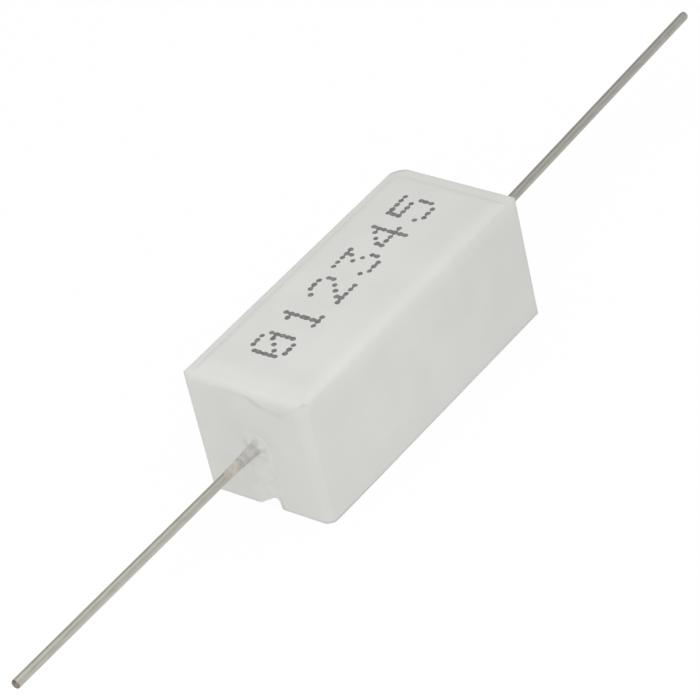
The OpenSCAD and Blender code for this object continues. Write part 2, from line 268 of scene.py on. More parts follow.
# %% Potting cement
CEMENT_IOR = 1.5
CEMENT_ROUGHNESS = 0.8
CEMENT_PALE = linear("#DEDEDB")
CEMENT_DARK = linear("#D8D8D5")
COLLAR_PALE = linear("#C4C2BE")    # a thin coat, through which the metal shows
COLLAR_DARK = linear("#B2B2AE")
MOTTLE = (1 / 0.6, 5.0, 0.36, 0.56)    # pattern with mottles 0.6 mm across
CLOUDS = (1.7, 3.0, 0.40, 0.62)        # pattern of the coat on the leads
LUMPS = (0.5, 0.02, 3.0)       # mm wide, mm deep and detail of the lumps
GRIT = (0.16, 0.004, 4.0)      # the same of quartz flour and its clumps
END_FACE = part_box("ceramic_case")[1][0] / MM
LEAD_LINE = (0.0, 0.0, 4.65)   # mm, where the leads leave the walls, seen along the part
THIN_COAT = {1: END_FACE + 0.05, 2: END_FACE + 0.45}     # mm from the part's middle
STAIN_REACH = {1: 1.15, 2: 0.35}       # mm from the lead, from the stain's rim to its middle
STAIN_CLOUDS = {1: 0.62, 2: 0.40, 4: 0.5}


def potting_cement():
    """Set cement: mottled on the walls, darker and cloudy as a thin coat on the leads."""
    material, tree = new_material("potting_cement")
    place = millimetres(tree)
    mottle = mottled(tree, place, MOTTLE, CEMENT_DARK, CEMENT_PALE)[1]
    cloud, collar = mottled(tree, place, CLOUDS, COLLAR_DARK, COLLAR_PALE)
    along = add(tree, "SeparateXYZ", {0: place})
    outwards = add(tree, "Math", {0: along}, operation="ABSOLUTE")
    thin = add(tree, "MapRange", {0: outwards, **THIN_COAT}, **SOFTLY)
    flat = add(tree, "VectorMath", {0: place, 1: (0.0, 1.0, 1.0)}, **MULTIPLY)
    off_lead = add(tree, "VectorMath", {0: flat, 1: LEAD_LINE}, out="Value", operation="DISTANCE")
    close_by = add(tree, "MapRange", {0: off_lead, **STAIN_REACH}, **SOFTLY)
    cloudy = add(tree, "MapRange", {0: cloud, **STAIN_CLOUDS}, **SOFTLY)
    stain = add(tree, "Math", {0: close_by, 1: cloudy}, **MULTIPLY)
    stained = add(tree, "Mix", {0: stain, 6: mottle, 7: COLLAR_DARK}, **OF_COLOURS)
    colour = add(tree, "Mix", {0: thin, 6: stained, 7: collar}, **OF_COLOURS)
    grit = grain_bump(tree, place, *GRIT, grain_bump(tree, place, *LUMPS))
    surface = add(tree, "BsdfPrincipled", {"Base Color": colour, "Normal": grit, "IOR": CEMENT_IOR,
                                           "Roughness": CEMENT_ROUGHNESS})
    add(tree, "OutputMaterial", {"Surface": surface})
    print(material.name, "nodes:", len(tree.nodes))
    return material


cement = potting_cement()

# %% [markdown]
# ## The slumped rim
# At one corner of each slot the wet cement slumped before it set. The CAD solid has the hollow as a
# plain cut. The real one runs out to the rim in a soft slope, so the piece that is shown is the same
# solid with that slope carved away as well, by an exact boolean with a prism along the slump's way. The
# boolean leaves slivers, which are dissolved, and its wide faces are shaded flat, as they are.

# %% The slope
RIM_SLOPE = [(1.18, 0.0), (1.01, 0.04), (0.85, 0.09), (0.68, 0.17), (0.49, 0.28), (0.30, 0.43),
             (0.11, 0.60)]         # mm across and up, on the near end face
SLOPE_SIDE = 1.5                   # mm across, outside the slope
SLOPE_DEPTH = 0.8                  # mm, how far the prism reaches below the rim
SLUMP_WAY = Vector((0.627, 0.527, -0.574))     # how the hollow runs into the near end
SLUMP_RUN = (-0.6, 1.8)                        # mm along that way, from outside the wall to its end
WIDE_FACE = 0.4        # mm2, from which a face is plainly flat
SLIVER = 0.0005        # mm, width under which a face is only a leftover of the cut
CEMENT_CREASE = 30     # degrees between two faces, from which the edge stays sharp


def slope_prism(turned):
    """Prism over the slope's outline on the near end face, turned half round for the far end."""
    low_corners = [(SLOPE_SIDE, -SLOPE_DEPTH), (SLOPE_SIDE, 0.0)]
    outline = low_corners + RIM_SLOPE + [(RIM_SLOPE[-1][0], -SLOPE_DEPTH)]
    mesh = bmesh.new()
    rings = []
    for run in SLUMP_RUN:
        ring = []
        for y, z in outline:
            point = Vector((-END_FACE, y, z)) + SLUMP_WAY * run
            ring.append(mesh.verts.new(Vector((-point.x, -point.y, point.z) if turned else point) * MM))
        rings.append(ring)
        mesh.faces.new(ring)
    for k in range(len(outline)):
        after = (k + 1) % len(outline)
        mesh.faces.new((rings[0][k], rings[0][after], rings[1][after], rings[1][k]))
    bmesh.ops.recalc_face_normals(mesh, faces=mesh.faces)
    data = bpy.data.meshes.new("slope")
    mesh.to_mesh(data)
    mesh.free()
    return in_scene("slope", data)


def set_cement():
    """The filling as it set: the CAD solid less the two slopes."""
    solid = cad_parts["cement_filling"]
    work = in_scene("work", solid.data.copy())
    work.matrix_world = solid.matrix_world
    cutters = [slope_prism(False), slope_prism(True)]
    for cutter in cutters:
        carve = work.modifiers.new("slope", "BOOLEAN")
        carve.operation = "DIFFERENCE"
        carve.solver = "EXACT"
        carve.object = cutter
    bpy.context.view_layer.update()
    data = bpy.data.meshes.new_from_object(work.evaluated_get(bpy.context.evaluated_depsgraph_get()))
    carved = bmesh.new()
    carved.from_mesh(data)
    bmesh.ops.dissolve_degenerate(carved, dist=SLIVER * MM, edges=carved.edges)
    carved.to_mesh(data)
    carved.free()
    data.materials.clear()
    data.materials.append(cement)
    data.shade_smooth()
    data.set_sharp_from_angle(angle=math.radians(CEMENT_CREASE))
    for face in data.polygons:
        face.use_smooth = face.area < WIDE_FACE * MM ** 2
    piece = in_scene("set_cement", data)
    piece.matrix_world = solid.matrix_world
    for helper in [work] + cutters:
        bpy.data.objects.remove(helper)
    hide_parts("cement_filling")
    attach(piece, "root")
    print("set_cement faces:", len(data.polygons), "solid:", len(solid.data.polygons))


set_cement()

# %% [markdown]
# ## Tinned copper wire
# The leads are soft copper wire, hot-tinned and wiped. Tin gives a warm grey, half-dull metal with fine
# scratches drawn along the wire. A thin, pale smear of cement runs out from the collar and ends in a
# ragged edge. Where the wire was cut, tarnished copper shows through the tin that the blade dragged
# over it.

# %% Tinned copper wire
SMEAR_PALE = linear("#CBC7BF")
SMEAR_DARK = linear("#B6B0A2")
COPPER = linear("#97867C")
TARNISH = linear("#6F6A67")
STREAKS = (9.0, 4.0, 0.35, 0.62)       # pattern round the wire
STREAK_STRETCH = (0.1, 1.0, 1.0)       # so that a streak is ten times as long as it is wide
SCRATCH_DEPTH = 0.006  # mm
FRAYS = {"Scale": 2.5, "Detail": 4.0}  # waves per mm of the smear's edge
FRAY_LENGTH = 1.6      # mm, how far that edge wanders along the wire
SMEAR_ENDS = (1.2, 0.5)        # mm past its nominal end, where it stops and where it is full
SMEAR_CLOUDS = (2.2, 3.0, 0.38, 0.62)
CUT_STARTS = (0.14, 0.09)      # mm short of the tip, where the copper starts and where it is bare
TEARS = (5.0, 3.0, 0.40, 0.60)         # pattern of the tin dragged over the cut
TIN = {3: 1.0, 4: 0.25}        # how metallic the wire is, bare and coated
TIN_ROUGHNESS = {3: 0.34, 4: 0.6}


def tinned_wire(name, pale, dark, smear_end, tip):
    """Tinned wire; its smear of cement and its tip end at these distances from the middle, in mm."""
    material, tree = new_material(name)
    place = millimetres(tree)
    drawn = add(tree, "Mapping", {"Vector": place, "Scale": STREAK_STRETCH}, vector_type="POINT")
    streak, metal = mottled(tree, drawn, STREAKS, linear(dark), linear(pale))
    smear = mottled(tree, place, SMEAR_CLOUDS, SMEAR_DARK, SMEAR_PALE)[1]
    snipped = mottled(tree, place, TEARS, TARNISH, COPPER)[1]
    along = add(tree, "SeparateXYZ", {0: place})
    outwards = add(tree, "Math", {0: along}, operation="ABSOLUTE")
    ragged = add(tree, "TexNoise", {"Vector": place, **FRAYS})
    edge = add(tree, "Math", {0: ragged, 1: FRAY_LENGTH, 2: outwards}, operation="MULTIPLY_ADD")
    stops, starts = [smear_end + past for past in SMEAR_ENDS]
    coated = add(tree, "MapRange", {0: edge, 1: stops, 2: starts}, **SOFTLY)
    tin_ends, copper_starts = [tip - short for short in CUT_STARTS]
    cut = add(tree, "MapRange", {0: outwards, 1: tin_ends, 2: copper_starts}, **SOFTLY)
    bare = add(tree, "Mix", {0: cut, 6: metal, 7: snipped}, **OF_COLOURS)
    surface = add(tree, "BsdfPrincipled", {
        "Base Color": add(tree, "Mix", {0: coated, 6: bare, 7: smear}, **OF_COLOURS),
        "Metallic": add(tree, "MapRange", {0: coated, **TIN}, **SOFTLY),
        "Roughness": add(tree, "MapRange", {0: coated, **TIN_ROUGHNESS}, **SOFTLY),
        "Normal": add(tree, "Bump", {"Height": streak, "Distance": SCRATCH_DEPTH * MM}),
    })
    add(tree, "OutputMaterial", {"Surface": surface})
    print(material.name, "nodes:", len(tree.nodes))
    return material


# %% [markdown]
# ## Snipped ends
# Side cutters squeeze a soft wire before they part it, so its end is a low, lopsided dome and not a
# disc. Each lead is shown as a copy of its CAD solid, sawn off a little short of its end, and closed
# again by drawing the open ring out in steps to the same length. Each step is (share of the way to the
# end, share of the radius), and the drag is how far the blade pulled the last step aside.

# %% Snipped ends
DOME_STEPS = [(0.30, 0.99), (0.55, 0.94), (0.76, 0.82), (0.90, 0.62), (0.97, 0.36), (1.0, 0.05)]
NEAR_DOME, NEAR_DRAG = 0.16, (0, 0, -0.06)     # mm
FAR_DOME, FAR_DRAG = 0.34, (0, 0.04, 0)        # mm
WIRE_CREASE = 35       # degrees between two faces, from which the edge stays sharp
SAME_CORNER = 1e-7     # m, within which two corners of the solid are one
NEAR_SMEAR, NEAR_TIP = 13.9, 33.40     # mm from the part's middle
FAR_SMEAR, FAR_TIP = 12.8, 36.70       # mm from the part's middle


def snipped_lead(node, side, dome, drag, finish):
    """Lead with its snipped end, dome mm deep; side is -1 for the near lead and 1 for the far one."""
    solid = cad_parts[node]
    mesh = bmesh.new()
    mesh.from_mesh(solid.data)
    bmesh.ops.remove_doubles(mesh, verts=mesh.verts, dist=SAME_CORNER)
    end = max(side * v.co.x for v in mesh.verts)
    everything = list(mesh.verts) + list(mesh.edges) + list(mesh.faces)
    bmesh.ops.bisect_plane(mesh, geom=everything, plane_co=(side * (end - dome * MM), 0, 0),
                           plane_no=(side, 0, 0), clear_outer=True)
    edges = [e for e in mesh.edges if e.is_boundary]
    ring = middle_of([v.co for e in edges for v in e.verts])
    middle, share = ring.copy(), 1.0
    for way, next_share in DOME_STEPS:
        drawn = bmesh.ops.extrude_edge_only(mesh, edges=edges)["geom"]
        fresh = [g for g in drawn if isinstance(g, bmesh.types.BMVert)]
        edges = [g for g in drawn if isinstance(g, bmesh.types.BMEdge) and g.is_boundary]
        ahead = Vector((side * dome * way, 0, 0)) * MM
        next_middle = ring + ahead + Vector(drag) * MM * (1 - next_share)
        for v in fresh:
            v.co = next_middle + (v.co - middle) * next_share / share
        middle, share = next_middle, next_share
    bmesh.ops.pointmerge(mesh, verts=fresh, merge_co=middle)
    bmesh.ops.recalc_face_normals(mesh, faces=mesh.faces)
    print(node, "tip, mm:", [round(c / MM, 3) for c in middle], "open edges:",
          len([e for e in mesh.edges if e.is_boundary]))
    data = bpy.data.meshes.new("snipped_" + node)
    mesh.to_mesh(data)
    mesh.free()
    data.shade_smooth()
    data.set_sharp_from_angle(angle=math.radians(WIRE_CREASE))
    data.materials.append(finish)
    piece = in_scene("snipped_" + node, data)
    piece.matrix_world = solid.matrix_world
    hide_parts(node)
    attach(piece, "root")


# The far lead is given darker tones than the near one; the tin is otherwise the same.
snipped_lead("near_lead", -1, NEAR_DOME, NEAR_DRAG,
             tinned_wire("tinned_wire_near", "#BDBCB4", "#B1AFA6", NEAR_SMEAR, NEAR_TIP))
snipped_lead("far_lead", 1, FAR_DOME, FAR_DRAG,
             tinned_wire("tinned_wire_far_darker", "#ACABA4", "#A19F98", FAR_SMEAR, FAR_TIP))

# %% [markdown]
# ## The sealed element
# Nobody sees these pieces until the part is cut open, but they still get their real finishes: a white
# ceramic rod, dull nickel-chromium wire, and pressed steel caps with a thin, satin tin plating. All
# of them are even, so one function makes them from two close tones.

# %% The sealed element
PLAIN_DETAIL, PLAIN_DARK, PLAIN_LIGHT = 3.0, 0.35, 0.65
PLAIN_BUMP = 0.004     # mm


def plain_finish(name, low, high, size, metallic, roughness, stretch=(1.0, 1.0, 1.0)):
    """A finish of two close tones in patches of one size, with a bump of the same pattern."""
    material, tree = new_material(name)
    place = add(tree, "Mapping", {"Vector": millimetres(tree), "Scale": stretch})
    pattern = (1 / size, PLAIN_DETAIL, PLAIN_DARK, PLAIN_LIGHT)
    patch, colour = mottled(tree, place, pattern, linear(low), linear(high))
    bump = add(tree, "Bump", {"Height": patch, "Distance": PLAIN_BUMP * MM})
    surface = add(tree, "BsdfPrincipled", {"Base Color": colour, "Normal": bump, "Metallic": metallic,
                                           "Roughness": roughness})
    add(tree, "OutputMaterial", {"Surface": surface})
    print(material.name, "nodes:", len(tree.nodes))
    return material


alumina = plain_finish("alumina_rod", "#E2E0D8", "#ECEAE4", size=0.15, metallic=0.0, roughness=0.6)
nichrome = plain_finish("nickel_chromium_wire", "#8E8A82", "#A39F96", size=0.2, metallic=1.0,
                        roughness=0.4)
cap_plating = plain_finish("tin_plated_steel", "#B9B8B4", "#C8C7C3", size=0.3, metallic=1.0,
                           roughness=0.3, stretch=(0.2, 1.0, 1.0))
dress("winding_core", alumina)
dress("resistance_winding", nichrome)
dress("near_end_cap", cap_plating)
dress("far_end_cap", cap_plating)

# %% [markdown]
# ## Ink on the pad
# A continuous ink-jet prints rows of dots on the moving parts. Each dot spreads a little into the matt
# ceramic, so neighbours run together down the strokes. The digits stand for the marking and say
# nothing. They are written as rows of five dots, and each dot lands a little off its place.

# %% Where the dots go
DIGITS = {
    "0": ".###. #...# #..## #.#.# ##..# #...# .###.",
    "1": "..#.. .##.. ..#.. ..#.. ..#.. ..#.. .###.",
    "2": ".###. #...# ....# ...#. ..#.. .#... #####",
    "3": "##### ...#. ..#.. ...#. ....# #...# .###.",
    "4": "...#. ..##. .#.#. #..#. ##### ...#. ...#.",
    "5": "##### #.... ####. ....# ....# #...# .###.",
}
MARKING = "012345"
MARK_START = (-8.0, -0.70)   # mm, lower left corner of the first digit's box
DIGIT_PITCH = 2.85           # mm from one digit to the next
COLUMN_PITCH = 0.452         # mm between dots along the line
ROW_PITCH = 0.395            # mm between dots up the digit
DOT_RADIUS = 0.190           # mm
DOT_SPREAD = 0.015           # mm, how much the radius varies
DOT_WANDER = 0.02            # mm, how far a dot lands from its place
DOT_SEED = 7


def dots_of(marking):
    """(x, y, radius) of every dot, in millimetres."""
    rng = random.Random(DOT_SEED)
    dots = []
    for place, digit in enumerate(marking):
        rows = DIGITS[digit].split()
        for row, line in enumerate(rows):
            for column, mark in enumerate(line):
                if mark == "#":
                    x = MARK_START[0] + DOT_RADIUS + place * DIGIT_PITCH + column * COLUMN_PITCH
                    y = MARK_START[1] + DOT_RADIUS + (len(rows) - 1 - row) * ROW_PITCH
                    dots.append((x + rng.uniform(-1, 1) * DOT_WANDER,
                                 y + rng.uniform(-1, 1) * DOT_WANDER,
                                 DOT_RADIUS + rng.uniform(-1, 1) * DOT_SPREAD))
    return dots


dots = dots_of(MARKING)
print("dots:", len(dots))

# %% [markdown]
# ## A film on a flat face
# Dried ink and wiped cement are both thin films with a wandering outline. A picture on the surface
# would be flat and blurred from close by, so each film is a real shape. Its height is sampled on a fine
# grid, and the outline is found cell by cell, where the height falls to zero. Joined dots then become
# one clean sheet whose rim sinks into the surface. A flat back closes it, so that it is a solid of its
# own, and the fold at its rim is kept sharp.

# %% Films
def film(mesh, lo, hi, cell, thickness, to_space):
    """Adds one thin sheet to the mesh, cut out along the line where its thickness falls to zero."""
    corners = {}
    cuts = {}
    columns, rows = [int((hi[k] - lo[k]) / cell) + 1 for k in (0, 1)]
    height = {(i, j): thickness(lo[0] + i * cell, lo[1] + j * cell)
              for i in range(columns + 1) for j in range(rows + 1)}

    def corner(key):
        """Corner of the sheet at a point of the grid, made only once."""
        if key not in corners:
            u, v = lo[0] + key[0] * cell, lo[1] + key[1] * cell
            corners[key] = mesh.verts.new(to_space(u, v, height[key]))
        return corners[key]

    def cut(a, b):
        """Corner of the sheet between two points of the grid, where the thickness falls to zero."""
        key = (min(a, b), max(a, b))
        if key not in cuts:
            t = height[a] / (height[a] - height[b])
            u, v = [lo[k] + (a[k] + (b[k] - a[k]) * t) * cell for k in (0, 1)]
            cuts[key] = mesh.verts.new(to_space(u, v, 0.0))
        return cuts[key]

    for i in range(columns):
        for j in range(rows):
            ring = [(i, j), (i + 1, j), (i + 1, j + 1), (i, j + 1)]
            inside = [height[c] > 0 for c in ring]
            face = []
            for k in range(4):
                if inside[k]:
                    face.append(corner(ring[k]))
                if inside[k] != inside[(k + 1) % 4]:
                    face.append(cut(ring[k], ring[(k + 1) % 4]))
            if len(face) > 2:
                mesh.faces.new(face)


def close_back(mesh, axis, level):
    """Closes a film with a back that lies flat at this level of the axis."""
    rim = [e for e in mesh.edges if e.is_boundary]
    rim_corners = {v for e in rim for v in e.verts}
    everything = list(mesh.verts) + list(mesh.edges) + list(mesh.faces)
    copy = bmesh.ops.duplicate(mesh, geom=everything)
    copied_faces = [g for g in copy["geom"] if isinstance(g, bmesh.types.BMFace)]
    bmesh.ops.reverse_faces(mesh, faces=copied_faces)
    for back_corner in [g for g in copy["geom"] if isinstance(g, bmesh.types.BMVert)]:
        back_corner.co[axis] = level
    bmesh.ops.weld_verts(mesh, targetmap={copy["vert_map"][v]: v for v in rim_corners})
    bmesh.ops.recalc_face_normals(mesh, faces=mesh.faces)
    for edge in rim:
        edge.smooth = False


def smooth_piece(name, mesh, material):
    """A piece of the object from a finished mesh, smooth shaded, that belongs to the body."""
    data = bpy.data.meshes.new(name)
    mesh.to_mesh(data)
    mesh.free()
    for polygon in data.polygons:
        polygon.use_smooth = True
    data.materials.append(material)
    piece = in_scene(name, data)
    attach(piece, "root")
    print(name, "faces:", len(data.polygons))


def waves(u, v, per_mm, layer):
    """One layer of a smooth noise over a flat face, with this many waves to a millimetre."""
    return noise.noise(Vector((u * per_mm, v * per_mm, layer)))


# %% [markdown]
# ## How thick the ink is
# Each dot is highest in its middle. Where two meet, a soft maximum of both lets them run together, as
# wet ink does, and a little noise frays the outline. Only the dots close to a point count there, and
# they are found by the millimetre of x in which they lie.

# %% Thickness of the ink
CELL = 0.03            # mm, grid step of the film
MERGE = 0.08           # mm, width over which two dots run together
REACH = 0.45           # mm, beyond which a dot adds nothing
MARGIN = 0.5           # mm, of grid round the marking
FRAY = 0.03            # mm, how far the outline wanders
FRAY_WAVES = 7.0       # per mm
FRAY_LAYER = 3.0
INK = 0.004            # mm, thickness of the dried ink
INK_EDGE = 0.08        # mm, from its outline to its full thickness
SINK = 0.001           # mm, how far its rim lies under the surface
PAD_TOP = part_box("ceramic_case")[1][2] / MM


def ink_rise(dots):
    """Function of x and y that is above zero inside the ink."""
    columns = {}
    for dot in dots:
        for column in range(math.floor(dot[0]) - 1, math.floor(dot[0]) + 2):
            columns.setdefault(column, []).append(dot)

    def rise(x, y):
        """Distance from the outline, in mm, with the inside above zero."""
        close = [(cx, cy, r) for cx, cy, r in columns.get(math.floor(x), [])
                 if abs(cx - x) < REACH and abs(cy - y) < REACH]
        if not close:
            return -1.0
        total = sum(math.exp((r - math.hypot(x - cx, y - cy)) / MERGE) for cx, cy, r in close)
        return MERGE * math.log(total) + FRAY * waves(x, y, FRAY_WAVES, FRAY_LAYER)
    return rise


def on_pad(x, y, rise):
    """Place of a point of the ink, which reaches its full thickness a little inside its outline."""
    return [x * MM, y * MM, (PAD_TOP - SINK + (INK + SINK) * min(1.0, rise / INK_EDGE)) * MM]


# %% [markdown]
# ## The ink itself
# It is a pigmented, quick-drying black. Thin as it is, it lets some of the white ceramic through, so it
# reads as a cool dark grey, a little paler in some patches than in others.

# %% Marking ink
INK_DARK = linear("#6A6A6B")
INK_PALE = linear("#838384")
INK_PATCHES = (4.0, 4.0, 0.35, 0.65)
INK_ROUGHNESS = 0.6


def marking_ink():
    """Dried ink that has sunk into matt ceramic."""
    material, tree = new_material("ink_jet_black")
    colour = mottled(tree, millimetres(tree), INK_PATCHES, INK_DARK, INK_PALE)[1]
    surface = add(tree, "BsdfPrincipled", {"Base Color": colour, "Roughness": INK_ROUGHNESS})
    add(tree, "OutputMaterial", {"Surface": surface})
    return material


ink_mesh = bmesh.new()
first_corner = [min(d[k] for d in dots) - MARGIN for k in (0, 1)]
last_corner = [max(d[k] for d in dots) + MARGIN for k in (0, 1)]
film(ink_mesh, first_corner, last_corner, CELL, ink_rise(dots), on_pad)
close_back(ink_mesh, 2, (PAD_TOP - SINK) * MM)
smooth_piece("pad_marking", ink_mesh, marking_ink())

# %% [markdown]
# ## Cement wiped over the end walls
# After potting, the wet cement is wiped flush. A skin of it stays on each slot and on the wall round
# it, so no seam shows there. The skin is a film like the ink: thickest over the slot, ragged at its
# edge, and open where the cement below has slumped away from the rim. Round the lead it is drawn up
# into a low foot, and a round hole, which the lead fills, lets the lead through.

# %% Outline of the cement skin
SLOT_HALF = 0.825      # mm, half the slot's width
SLOT_TOP = 4.64        # mm, height of the middle of the slot's round top
SKIN_REACH = 0.30      # mm, how far the skin runs over the wall
SKIN_INSET = 0.02      # mm, how far its edge keeps inside the slot and off the slump
SKIN_FLOOR = 0.03      # mm, how far it keeps off the rim
SKIN_WAVES = [(0.16, 1.3, 0.0), (0.07, 5.0, 5.0)]      # mm high, waves per mm and layer of its edge
BARE_RIGHT, BARE_LEFT = 0.40, -0.15    # mm, height below which it doesn't spread over the wall
BARE_FADE = 0.5        # mm, over which it then comes to its full reach
HOLE_RADIUS = 0.22     # mm, of the skin's hole
HOLE_STEEPNESS = 4.0   # so that the skin has its full thickness again before the lead's surface
SLUMP_MIDDLE = (-0.33, 0.46)   # mm, the middle of the slump's round on the wall's face
SLUMP_ROUND = 0.32     # mm
SLUMP_ACROSS = 0.766               # how the wall's face looks along the slump: y across it
SLUMP_UP = (0.3687, 0.819)         # and y and z up it
LONG_FLANK, SHORT_FLANK = 21, 77   # degrees from upright, where each flank leaves the round
SLOPE_LEAN = 0.75      # from height over the slope to the distance from it
CLEAR = 9.0            # mm, where there is nothing to keep clear of


def slump_clearance(y, z):
    """Distance from the slumped hollow, in mm: a round roof between a long and a short flank."""
    dy, dz = y - SLUMP_MIDDLE[0], z - SLUMP_MIDDLE[1]
    u, v = SLUMP_ACROSS * dy, SLUMP_UP[0] * dy + SLUMP_UP[1] * dz
    if -SHORT_FLANK < math.degrees(math.atan2(u, v)) < LONG_FLANK:
        return math.hypot(u, v) - SLUMP_ROUND
    long_way, short_way = math.radians(LONG_FLANK), math.radians(SHORT_FLANK)
    return max(u * math.sin(long_way) + v * math.cos(long_way),
               -u * math.sin(short_way) + v * math.cos(short_way)) - SLUMP_ROUND


def slope_clearance(y, z):
    """Distance from the carved slope beside the hollow, in mm."""
    for (y1, z1), (y2, z2) in zip(RIM_SLOPE, RIM_SLOPE[1:]):
        if y2 <= y <= y1:
            return (z - z1 - (z2 - z1) * (y1 - y) / (y1 - y2)) * SLOPE_LEAN
    return z if y > 0 else CLEAR


def from_lead(side, y, z, lead):
    """Distance from the middle of the lead on the end wall, in mm."""
    return math.hypot(-side * y - lead[0], z - lead[1])


def skin_rise(side, seed, lead):
    """Function that is above zero inside the skin: round the slot, and clear of the lead's middle."""
    def rise(y, z):
        """Distance from the outline, in mm, with the inside above zero."""
        across = abs(y) if z < SLOT_TOP else math.hypot(y, z - SLOT_TOP)
        ragged = sum(high * waves(y, z, per_mm, seed + layer) for high, per_mm, layer in SKIN_WAVES)
        bare_below = BARE_RIGHT if y < 0 else BARE_LEFT
        spread = min(1.0, max(0.0, (z - bare_below) / BARE_FADE))
        return min(SLOT_HALF - SKIN_INSET - across + (SKIN_REACH + SKIN_INSET + ragged) * spread,
                   slump_clearance(y, z) - SKIN_INSET, slope_clearance(y, z) - SKIN_INSET,
                   z - SKIN_FLOOR, HOLE_STEEPNESS * (from_lead(side, y, z, lead) - HOLE_RADIUS))
    return rise


# %% [markdown]
# ## How thick the skin is
# The wiped cement is uneven by nature, so slow waves thicken and thin it. Surface tension drew it up
# along the lead before it set, which gives the foot: high at the collar and gone a few tenths of a
# millimetre away.

# %% Thickness of the cement skin
SKIN = 0.02            # mm, its thickness
SKIN_EDGE = 0.25       # mm, from its outline to its full thickness
LUMP_LEVEL, LUMP_HEIGHT = 0.7, 0.6     # shares of that thickness
LUMP_WAVES, LUMP_LAYER = 3.0, 9        # per mm, and which layer of the noise
COLLAR_RADIUS = 0.39   # mm, from the lead's middle to where the foot is highest
FOOT_HEIGHT = 0.16     # mm
FOOT_REACH = 0.22      # mm, over which it falls away
FOOT_UNEVEN = 0.9      # share of that height
FOOT_WAVES, FOOT_LAYER = 2.2, 3        # the same
SKIN_FIRST, SKIN_LAST = (-1.6, 0.0), (1.6, 6.4)     # mm, corners of the grid on the wall
SKIN_CELL = 0.05       # mm, its step
LEAD_NEAR_WALL = (0.5, 2.5)        # mm outside the wall, where the lead's place is measured


def lead_at_wall(node):
    """Middle of the lead where it leaves the end wall, as (y, z) in millimetres."""
    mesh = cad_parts[node]
    points = [(mesh.matrix_world @ v.co) / MM for v in mesh.data.vertices]
    start, end = [END_FACE + out for out in LEAD_NEAR_WALL]
    return middle_of([p for p in points if start < abs(p.x) < end])[1:]


def on_end_wall(side, seed, lead):
    """Maps the skin to one end wall: side is -1 for the near one and 1 for the far one."""
    def to_space(y, z, rise):
        """Place in space of a point of the skin, in metres."""
        lump = LUMP_LEVEL + LUMP_HEIGHT * waves(y, z, LUMP_WAVES, seed + LUMP_LAYER)
        off_lead = max(0.0, from_lead(side, y, z, lead) - COLLAR_RADIUS)
        uneven = 1.0 + FOOT_UNEVEN * waves(y, z, FOOT_WAVES, seed + FOOT_LAYER)
        foot = FOOT_HEIGHT * uneven * math.exp(-off_lead / FOOT_REACH)
        out = -SINK + (SKIN * lump + foot + SINK) * min(1.0, max(0.0, rise) / SKIN_EDGE)
        return [side * (END_FACE + out) * MM, -side * y * MM, z * MM]
    return to_space


for name, side, seed, node in (("near_cement_skin", -1, 1.0, "near_lead"),
                               ("far_cement_skin", 1, 21.0, "far_lead")):
    lead = lead_at_wall(node)
    print(node, "at the wall:", [round(c, 3) for c in lead])
    skin = bmesh.new()
    film(skin, SKIN_FIRST, SKIN_LAST, SKIN_CELL, skin_rise(side, seed, lead),
         on_end_wall(side, seed, lead))
    close_back(skin, 0, side * (END_FACE - SINK) * MM)
    smooth_piece(name, skin, cement)

# %% [markdown]
# ## Floor
# A product shot on a light table: an opal sheet, lit partly from below, which shows plain white to the
# camera and in reflections, apart from a trace of the part's own shadow. Its edge turns up all round,
# so that it is still the background of a view from floor level.

# %% Floor
SHEET_RADIUS = 1.0     # m
SHEET_BEND = 0.10      # m, radius of its upturned edge
BEND_STEP = 10         # degrees
SHEET_TOP = 0.16       # m, height of the edge
SHEET_GAP = 0.00002    # m, below the part, so that no two faces lie in one plane
SHEET_SIDES = 96
WHITE = linear("#FFFFFF")
# What the sheet is for the light, and as the camera and mirrors see it.
SHEET_COLOUR = {3: 0.75, 4: 0.97}      # share of light that it sends back
TABLE_GLOW = {3: 0.91, 4: 1.0}         # radiance from below
GLOW_SHARE = {3: 0.5, 4: 0.95}         # how much of it is that glow


def opal_sheet():
    """White plastic, lit from below, that the camera and mirrors see as plain white."""
    material, tree = new_material("white_sweep")
    ways = add(tree, "LightPath").node.outputs
    seen = add(tree, "Math", {0: ways["Is Camera Ray"], 1: ways["Is Glossy Ray"]}, operation="ADD")
    seen = add(tree, "Math", {0: seen, 1: ways["Is Transmission Ray"]}, operation="ADD", use_clamp=True)
    colour, glow, share = [add(tree, "MapRange", {0: seen, **ends}, **SOFTLY)
                           for ends in (SHEET_COLOUR, TABLE_GLOW, GLOW_SHARE)]
    sheet = add(tree, "BsdfDiffuse", {"Color": colour})
    white = add(tree, "Emission", {"Color": WHITE, "Strength": glow})
    add(tree, "OutputMaterial", {"Surface": add(tree, "MixShader", {0: share, 1: sheet, 2: white})})
    return material


def white_floor():
    """Round sheet with an upturned edge, from rings of points."""
    bend = [math.radians(a) for a in range(0, 91, BEND_STEP)]
    profile = [(SHEET_RADIUS - SHEET_BEND * (1 - math.sin(a)), SHEET_BEND * (1 - math.cos(a)))
               for a in bend]
    profile.append((SHEET_RADIUS, SHEET_TOP))
    turns = [2 * math.pi * k / SHEET_SIDES for k in range(SHEET_SIDES)]
    points = [(r * math.cos(t), r * math.sin(t), z - SHEET_GAP) for r, z in profile for t in turns]
    faces = [list(range(SHEET_SIDES))]
    for ring in range(len(profile) - 1):
        for k in range(SHEET_SIDES):
            here, there = ring * SHEET_SIDES + k, ring * SHEET_SIDES + (k + 1) % SHEET_SIDES
            faces.append([there, here, here + SHEET_SIDES, there + SHEET_SIDES])
    data = bpy.data.meshes.new("floor")
    data.from_pydata(points, [], faces)
    for face in data.polygons:
        face.use_smooth = len(face.vertices) == 4
    data.materials.append(opal_sheet())
    floor = in_scene("floor", data)
    print("floor faces:", len(faces))


white_floor()

